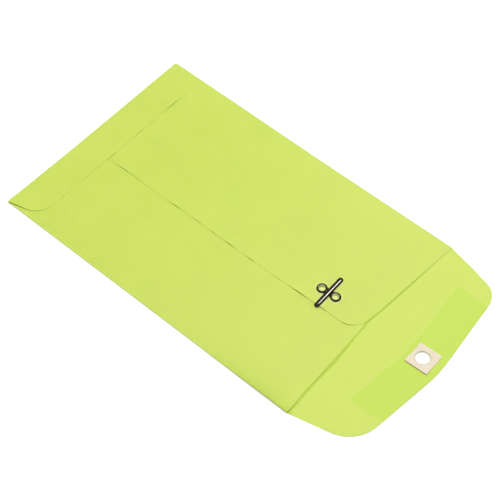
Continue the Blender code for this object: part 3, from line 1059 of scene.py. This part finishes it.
def makeBottomFlap():
    form = bottomForm
    freeY = bottomY + form["depth"]
    cornerX = halfWidth - form["depth"] * tan(form["taper"])
    strip = {
        "edge": -bottomY,
        "inner": -bottomY - pocketForm["strip"],
        "start": -foldSpan - 1 * mm,
        "bow": scaled([(10, 75, 0.38)]),
    }

    def foldHeight(x):
        return bottomHeight(x, form["foldAt"])

    def heightAt(reach, x):
        return bottomHeight(x, -reach)

    def place(x, across):
        out, z = foldedPlace(across, x, foldHeight(x), strip, heightAt)
        return Vector((x, -out, z))

    deep = freeY + foldStart(strip, foldHeight(0.0), 0.0)  # depth of the flap past its fold
    corners = [
        (-halfWidth, 0, 0), (halfWidth, 0, 0),
        (cornerX, deep, form["radius"]), (-cornerX, deep, form["radius"]),
    ]
    flap = walked(roundedOutline(corners)[1:] + [(-halfWidth, 0)], 1.5 * mm)
    tops = [p for p in flap if p[1] > 1e-9 or abs(abs(p[0]) - halfWidth) < 1e-9]
    columns = spread(-halfWidth, halfWidth, 2 * mm)
    mitre = halfWidth - pocketForm["strip"]  # the strip's ends are cut back from the side folds
    outline = [(max(-mitre, min(mitre, x)), strip["start"]) for x in columns]
    outline += [(halfWidth, v) for v in foldColumns[:-1]]
    outline += tops
    outline += [(-halfWidth, v) for v in reversed(foldColumns[:-1])]
    rows = [strip["start"], *foldColumns, 0.5 * mm, 1.2 * mm, 2.4 * mm, 4 * mm]
    rows += spread(6 * mm, deep, 1.8 * mm)
    cut = cutSheet(outline, [], columns, rows, 0.4 * mm, edgeLightRows(tops))
    piece = sheetPiece("bottomFlap", cut, place, sheetThick, limePaper)
    freeEdge = [tuple(place(x, across).xy) for x, across in tops]
    points = pointsOf(piece)
    # painted light along the bottom flap's free edge
    paint(piece, "edge", paintedEdgeLight(points, freeEdge))
    # painted shade along the bottom fold
    paint(piece, "shade", [foldEdgeShade(-co.y, co.x, strip) for co in points])
    paint(piece, "wear", map(nearFold, points))
    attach(piece, "pocket")
    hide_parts("bottom_flap", "bottom_crease")
    return freeEdge


glueForm = {
    "film": 0.006 * mm,
    "waver": 0.35 * mm,
    "waverLength": (2.9 * mm, 2.3 * mm),
}


def makeGlueLine(name, box, stepX, stepY, heightAt, lay):
    # a spread film, with edges that wander a little
    (lowX, lowY), (highX, highY) = (corner[:2] for corner in box)
    wander, (lengthX, lengthY) = glueForm["waver"], glueForm["waverLength"]
    outline = walked([(lowX, lowY), (highX, lowY), (highX, highY), (lowX, highY)], 1.5 * mm)
    outline = [(x + wander * sin(y / lengthY), y + wander * sin(x / lengthX + 1)) for x, y in outline]
    cut = cutSheet(outline, [], spread(lowX, highX, stepX), spread(lowY, highY, stepY), 0.5 * mm)

    def place(x, y):
        return Vector((x, y, sheetZ + heightAt(x, y) + lay))

    return sheetPiece(name, cut, place, glueForm["film"], clearGlue)


def makeGlueLines():
    lay = (sheetThick + pocketForm["lapGap"]) / 2
    seam = makeGlueLine("seamGlue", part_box("seam_glue"), 1 * mm, 3 * mm, rightHeight, lay)
    bottom = makeGlueLine("bottomGlue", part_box("bottom_flap_glue"), 3 * mm, 2 * mm, bottomHeight, -lay)
    for piece, node in ((seam, "seam_glue"), (bottom, "bottom_flap_glue")):
        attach(piece, "pocket")
        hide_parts(node)


gumForm = {
    "startX": -57 * mm,
    "endX": 47 * mm,
    "depth": 23.3 * mm,
    "margin": 0.12 * mm,
    "film": 0.03 * mm,
    "seat": 0.01 * mm,  # air under the film
    "softEdge": 1.6 * mm,
    "waver": 0.3 * mm,
    "waverLength": 4.3 * mm,
}


def makeGum():
    form = gumForm
    columns = spread(form["startX"], form["endX"], 1.5 * mm)
    edgeLine = [(x, flapEdgeY(x) - form["margin"]) for x in columns]
    inner = [(x, y - form["depth"] + form["waver"] * sin(x / form["waverLength"])) for x, y in edgeLine]
    outer = [skewed(x, y) for x, y in reversed(edgeLine)]
    outline = walked(inner + outer, 1.5 * mm)
    hole = circle(*holeSpot, flapForm["holeRadius"])
    rows = spread(foldY + 10 * mm, foldY + flapForm["reach"], 1.2 * mm)
    cut = cutSheet(outline, [hole], columns, rows, 0.4 * mm)
    middle = sheetZ + paper / 2 + form["film"] / 2 + form["seat"]

    def place(x, y):
        return Vector((x, y, middle + flapHeight(x, y)))

    piece = sheetPiece("gumStrip", cut, place, form["film"], driedGum)
    # the film thins out at its inner edge and ends, not along the flap's own edge
    gaps = edgeDistance(flatOf(pointsOf(piece)), inner + [(x, y + 20 * mm) for x, y in outer])
    paint(piece, "film", [smooth(gap / form["softEdge"]) for gap in gaps])
    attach(piece, "flap")
    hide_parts("gum_strip")


patchForm = {
    "width": 15.8 * mm,
    "length": 15.5 * mm,
    "thickness": 0.25 * mm,
    "seat": 0.02 * mm,  # over the gum
    "skew": radians(1.9),
    "drift": 0.6 * mm,
    "cornerRadius": 0.35 * mm,
    "softEdge": 0.05 * mm,
    "sharp": 50,  # degrees past which an edge is softened
    "lift": 0.42 * mm,  # the edge by the right side has come unstuck
    "dish": 0.05 * mm,
}


def makePatch():
    form = patchForm
    wide, long, drift = form["width"] / 2, form["length"] / 2, form["drift"]
    corners = [(-wide, drift - long), (wide, drift - long), (wide, drift + long), (-wide, drift + long)]
    outline = roundedOutline([(x, y, form["cornerRadius"]) for x, y in corners])
    hole = circle(0, 0, flapForm["holeRadius"])
    grid = spread(-9 * mm, 9 * mm, 0.8 * mm)
    cut = cutSheet(walked(outline, 0.8 * mm), [hole], grid, grid, 0.3 * mm)
    seat = sheetZ + paper / 2 + gumForm["film"] + form["seat"] + form["thickness"] / 2
    turn = Matrix.Rotation(form["skew"], 2)

    def place(x, y):
        spot = turn @ Vector((x, y)) + Vector(holeSpot)
        rise = form["lift"] * clamp((x / wide + 0.1) / 1.1) ** 2
        rise += form["dish"] * (x / wide) ** 2 * (y / long) ** 2
        return Vector((spot.x, spot.y, seat + flapHeight(spot.x, spot.y) + rise))

    piece = sheetPiece("holePatch", cut, place, form["thickness"], creamCard)
    addModifier(
        piece, "softEdges", "BEVEL",
        width=form["softEdge"], segments=2, limit_method="ANGLE", angle_limit=radians(form["sharp"]),
    )
    finishedMesh(piece, form["sharp"])
    # painted shade on the hole's wall
    wall = flapForm["holeRadius"] + 0.005 * mm
    paint(piece, "cut", [1.0 if (co.xy - holeSpot).length < wall else 0.0 for co in pointsOf(piece)])
    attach(piece, "flap")
    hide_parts("hole_patch")


# the clasp

claspForm = {
    "metal": 0.30 * mm,
    "seat": panelTop + 0.2 * mm,  # underside of the clasp's base
    "eyeletOuter": 6.8 * mm,
    "eyeletBore": 4.3 * mm,
    "eyeletRise": 0.85 * mm,
    "bareLip": 0.14 * mm,  # width of the lip that shows the bare plate
    "play": 0.1 * mm,  # round a barrel in the panel
    "clinchOuter": 6.0 * mm,
    "clinchBend": 0.30 * mm,
    "clinchDrop": 0.71 * mm,  # from the seat down to the middle of the rolled rim
    "pitch": 10.2 * mm,
    "webWidth": 4.2 * mm,
    "webFlare": 0.7 * mm,  # how much the web widens where it meets the eyelets
    "webOverlap": 0.9 * mm,  # how far the web runs into them
    "prongWidth": 3.4 * mm,
    "prongRise": 0.9 * mm,
    "prongLength": 12.7 * mm,
    "stem": 0.74 * mm,
    "sharp": 45,  # degrees past which an edge is shaded sharp
}
prongAxis = joints["left_prong_bend"]["axis"]
claspTurn = atan2(-prongAxis[0], prongAxis[1])
crestZ = joints["left_prong_bend"]["pos_m"][2]
rimZ = crestZ - claspForm["prongRise"]
pierced = claspForm["eyeletBore"] / 2 + claspForm["metal"] + claspForm["play"]


def claspSpot(along, across):
    c, s = cos(claspTurn), sin(claspTurn)
    return closure.x + along * c - across * s, closure.y + along * s + across * c


eyeletSpots = [claspSpot(0, side * claspForm["pitch"] / 2) for side in (-1, 1)]


def eyeletLoop():
    # the metal's closed section: over the rolled lip, down the barrel and out to the clinched rim
    form = claspForm
    half = form["metal"] / 2
    outer = form["eyeletOuter"] / 2 - half
    barrel = form["eyeletBore"] / 2 + half
    roll = (outer - barrel) / 2
    rollZ = form["eyeletRise"] - half - roll
    bend = form["clinchBend"]
    middle = [(outer, 0.0), (outer, rollZ * 0.5)]
    middle += arc(barrel + roll, rollZ, roll, 0, 180, 16)
    middle += arc(barrel + bend, bend - form["clinchDrop"], bend, 180, 270, 8)
    middle.append((form["clinchOuter"] / 2, -form["clinchDrop"]))
    points = [Vector(p) for p in middle]
    sides = ([], [])
    for k, point in enumerate(points):
        run = (points[min(k + 1, len(points) - 1)] - points[max(k - 1, 0)]).normalized()
        sides[0].append(point + Vector((run.y, -run.x)) * half)
        sides[1].append(point - Vector((run.y, -run.x)) * half)
    return sides[0] + sides[1][::-1]


def skin(work, rows):
    # faces between rows of points
    for here, there in zip(rows, rows[1:]):
        for k in range(len(here) - 1):
            work.faces.new((here[k], there[k], there[k + 1], here[k + 1]))


def turnedRing(name, loop, steps):
    work = bmesh.new()
    rings = []
    for a in spread(0, 2 * pi, 2 * pi / steps)[:-1]:
        ring = [work.verts.new((p.x * cos(a), p.x * sin(a), p.y)) for p in loop]
        rings.append(ring + ring[:1])
    skin(work, rings + rings[:1])
    bmesh.ops.recalc_face_normals(work, faces=work.faces)
    return newObject(name, work)


def slab(name, outline, thickness):
    # an outline with a thickness, centred on its own plane
    work = bmesh.new()
    face = work.faces.new([work.verts.new((x, y, -thickness / 2)) for x, y in outline])
    pulled = bmesh.ops.extrude_face_region(work, geom=[face])
    for item in pulled["geom"]:
        if isinstance(item, bmesh.types.BMVert):
            item.co.z += thickness
    bmesh.ops.recalc_face_normals(work, faces=work.faces)
    return newObject(name, work)


def makeClaspBase():
    form = claspForm
    halfWeb = form["webWidth"] / 2
    span = form["pitch"] / 2 - form["eyeletOuter"] / 2 + form["webOverlap"]
    steps = spread(-span, span, 0.25 * mm)
    sideLine = [(halfWeb + form["webFlare"] * ((abs(y) / span) ** 2 - 0.35), y) for y in steps]
    web = sideLine + [(-x, y) for x, y in reversed(sideLine)]
    base = slab("claspBase", web, form["metal"])
    base.location = (closure.x, closure.y, form["seat"] + form["metal"] / 2)
    base.rotation_euler = (0, 0, claspTurn)
    half = form["prongWidth"] / 2
    foot = form["seat"] + form["metal"] / 2 - rimZ
    crest = [(half * cos(a), form["prongRise"] * sin(a)) for a in spread(0, pi, pi / 28)]
    stem = slab("stem", [(-half, foot), (half, foot), *crest], form["stem"])
    stem.location = (closure.x, closure.y, rimZ)
    stem.rotation_euler = (pi / 2, 0, pi / 2 + claspTurn)
    tools = [stem]
    for k, spot in enumerate(eyeletSpots):
        ring = turnedRing("eyelet" + str(k), eyeletLoop(), 72)
        ring.location = (*spot, form["seat"])
        tools.append(ring)
    for tool in tools:
        addModifier(base, tool.name, "BOOLEAN", operation="UNION", object=tool)
    finishedMesh(base, form["sharp"])
    for tool in tools:
        bpy.data.objects.remove(tool)
    base.data.materials.clear()
    base.data.materials.append(blackLacquer)
    base.data.materials.append(bareTin)
    inner = form["eyeletBore"] / 2 + form["bareLip"]
    for face in base.data.polygons:
        if min(eyeletGaps((base.matrix_world @ face.center).xy)) < inner:
            face.material_index = 1
    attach(base, "pocket")
    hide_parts("clasp_base")


def makeProng(name, body, node, joint, heading):
    # a dished rib with a round tip, made along its own +X from the bend
    form = claspForm
    half = form["prongWidth"] / 2
    run = form["prongLength"] - half
    stations = [(x, 0.0) for x in spread(0, run, 1.2 * mm)]
    stations += [(run, a) for a in spread(0, pi / 2, pi / 24)[1:-1]]
    sweep = spread(-pi / 2, pi / 2, pi / 28)
    work = bmesh.new()
    rows = []
    for x, tip in stations:
        rows.append([
            work.verts.new((
                x + half * sin(tip),
                half * cos(tip) * sin(a),
                form["prongRise"] * (cos(tip) * cos(a) - 1),
            ))
            for a in sweep
        ])
    skin(work, rows)
    end = work.verts.new((form["prongLength"], 0, -form["prongRise"]))
    for here, there in zip(rows[-1], rows[-1][1:]):
        work.faces.new((here, end, there))
    bmesh.ops.recalc_face_normals(work, faces=work.faces)
    if sum(face.normal.z for face in work.faces) < 0:
        bmesh.ops.reverse_faces(work, faces=work.faces)
    piece = newObject(name, work)
    addModifier(piece, "thickness", "SOLIDIFY", thickness=form["metal"], offset=-1, use_even_offset=True)
    finishedMesh(piece, form["sharp"])
    piece.location = joints[joint]["pos_m"]
    piece.rotation_euler = (0, 0, claspTurn + heading)
    piece.data.materials.append(blackLacquer)
    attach(piece, body)
    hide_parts(node)


makeFrontSheet()
bottomEdge = makeBottomFlap()
makeRightPanel(bottomEdge)
makeLeftPanel(bottomEdge)
print("paper: front sheet with its flap, two side panels, bottom flap")
makeGlueLines()
makeGum()
makePatch()
print("on the paper: glue lines, gum, patch")
makeClaspBase()
makeProng("leftProng", "prong_left", "left_prong", "left_prong_bend", pi)
makeProng("rightProng", "prong_right", "right_prong", "right_prong_bend", 0)
print("clasp: base with two eyelets, two prongs")


# floor, light and camera

stageForm = {
    "floorSize": 6.0,
    "floorZ": -0.12 * mm,
    "floorTone": (0.93, 0.93, 0.93),
    "floorGlow": 0.10,  # keeps the floor white under the edges
    "fill": 0.68,  # the white room
    "keyFrom": (-0.40, -0.45, 0.80),  # casts the short shadows
    "keySize": (1.25, 1.25),
    "keyPower": 169.0,
    "keyDistance": 8.0,
    "boxFrom": (-0.465, -0.03, 0.877),  # the line of light along the clasp
    "boxSize": (1.29, 0.26),
    "boxPower": 106.0,
    "boxDistance": 6.0,
}


def makeFloor():
    work = bmesh.new()
    bmesh.ops.create_grid(work, x_segments=4, y_segments=4, size=stageForm["floorSize"] / 2)
    floor = newObject("floor", work)
    floor.location.z = stageForm["floorZ"]
    material, shader = newMaterial("paleFloor")
    setInputs(
        shader,
        Base_Color=stageForm["floorTone"],
        Roughness=0.9,
        Specular_IOR_Level=0.1,
        Emission_Color=(1, 1, 1),
        Emission_Strength=stageForm["floorGlow"],
    )
    floor.data.materials.append(material)


def addAreaLight(name, seenInGloss):
    data = bpy.data.lights.new(name, "AREA")
    data.shape = "RECTANGLE"
    data.size, data.size_y = stageForm[name + "Size"]
    data.energy = stageForm[name + "Power"]
    light = addObject(name, data)
    aim = Vector(stageForm[name + "From"]).normalized()
    light.location = closure + aim * stageForm[name + "Distance"]
    light.rotation_euler = (-aim).to_track_quat("-Z", "Y").to_euler()
    light.visible_glossy = seenInGloss


def makeLight():
    world = bpy.data.worlds.new("whiteRoom")
    world.use_nodes = True
    setInputs(world.node_tree.nodes["Background"], Color=(1, 1, 1), Strength=stageForm["fill"])
    bpy.context.scene.world = world
    addAreaLight("key", False)
    addAreaLight("box", True)
    bpy.context.scene.view_settings.view_transform = "Standard"


cameraForm = {
    "target": (5.0 * mm, 23.2 * mm, 0),
    "azimuth": radians(132.48),
    "elevation": radians(54.26),
    "roll": radians(1.11),
    "distance": 993.7 * mm,
    "lens": 118.1,
}


def makeCamera():
    form = cameraForm
    azimuth, elevation, roll = form["azimuth"], form["elevation"], form["roll"]
    level = cos(elevation)
    back = Vector((level * sin(azimuth), -level * cos(azimuth), sin(elevation)))
    right = Vector((0, 0, 1)).cross(back).normalized()
    up = back.cross(right)
    right, up = right * cos(roll) - up * sin(roll), up * cos(roll) + right * sin(roll)
    data = bpy.data.cameras.new("camera")
    data.lens = form["lens"]
    camera = addObject("camera", data)
    place = Vector(form["target"]) + back * form["distance"]
    camera.matrix_world = Matrix.Translation(place) @ Matrix((right, up, back)).transposed().to_4x4()
    bpy.context.scene.camera = camera


makeFloor()
makeLight()
makeCamera()
print("stage: floor, light, camera")
